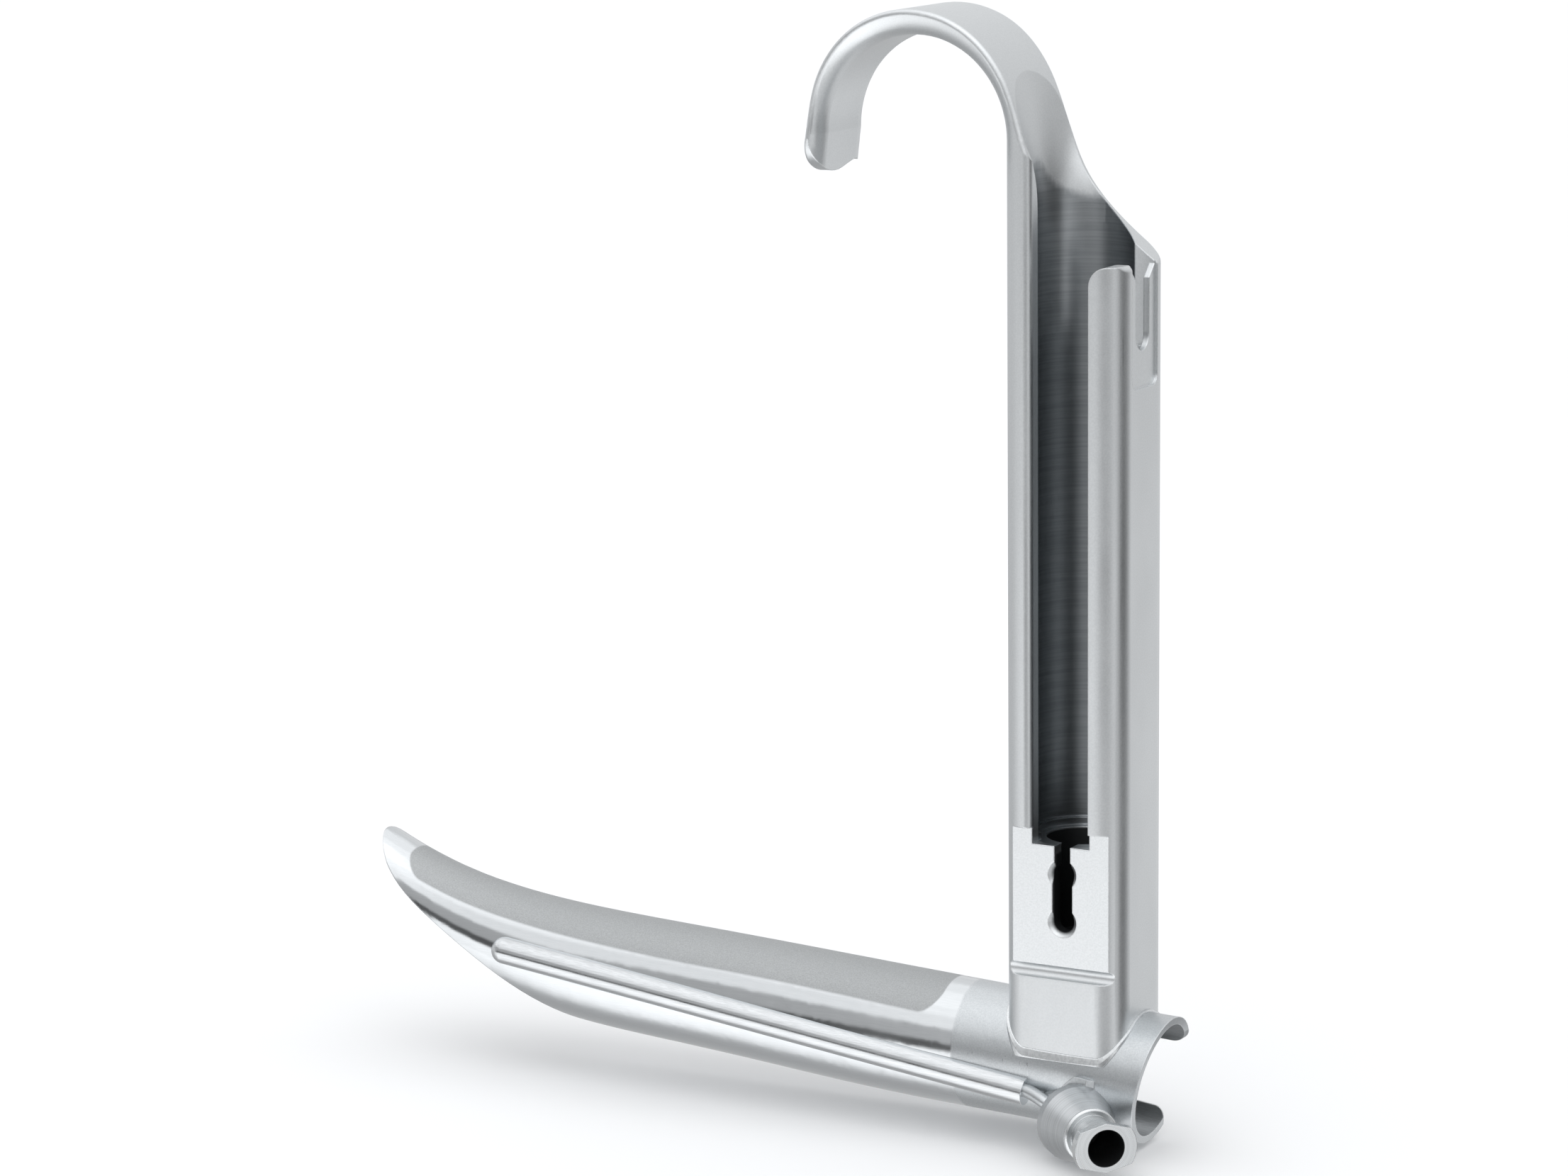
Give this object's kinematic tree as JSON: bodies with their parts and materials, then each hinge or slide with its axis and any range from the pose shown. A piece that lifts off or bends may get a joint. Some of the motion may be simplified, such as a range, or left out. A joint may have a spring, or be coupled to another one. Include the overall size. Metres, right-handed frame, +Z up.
{
  "type": "laryngoscope",
  "caption": "Rigid side-slotted laryngoscope: hollow channel handle with finger hook, open tube blade with swept-up bevelled tip, side supply pipe and lugged taper connector",
  "frame": {"origin": "centre of the ledge where the handle's wide channel steps down into the narrow light socket, on the socket's axis", "axes": "+Z up the handle along the socket axis, -X along the blade to its distal tip, -Y the slotted side of the handle that also carries the connector, +Y the side of the blade's long instrument slot"},
  "size_m": [0.1081, 0.0249, 0.1305],
  "materials": {
    "handle_body": "satin bead-blasted outside, fine turning marks in the channel",
    "blade_tube": "polished sides, matte anti-glare strip on top, satin rear end",
    "foot_braze": "smooth bright filler bead",
    "side_ridge": "polished",
    "supply_pipe": "satin drawn tube",
    "connector_hub": "fine turned satin",
    "hub_braze": "smooth bright filler bead",
    "luer_nipple": "bright turned"
  },
  "bodies": {
    "root": {"handle_body": "handle_body", "blade_tube": "blade_tube", "foot_braze": "foot_braze", "side_ridge": "side_ridge", "supply_pipe": "supply_pipe", "connector_hub": "connector_hub", "hub_braze": "hub_braze", "luer_nipple": "luer_nipple"}
  },
  "joints": []
}
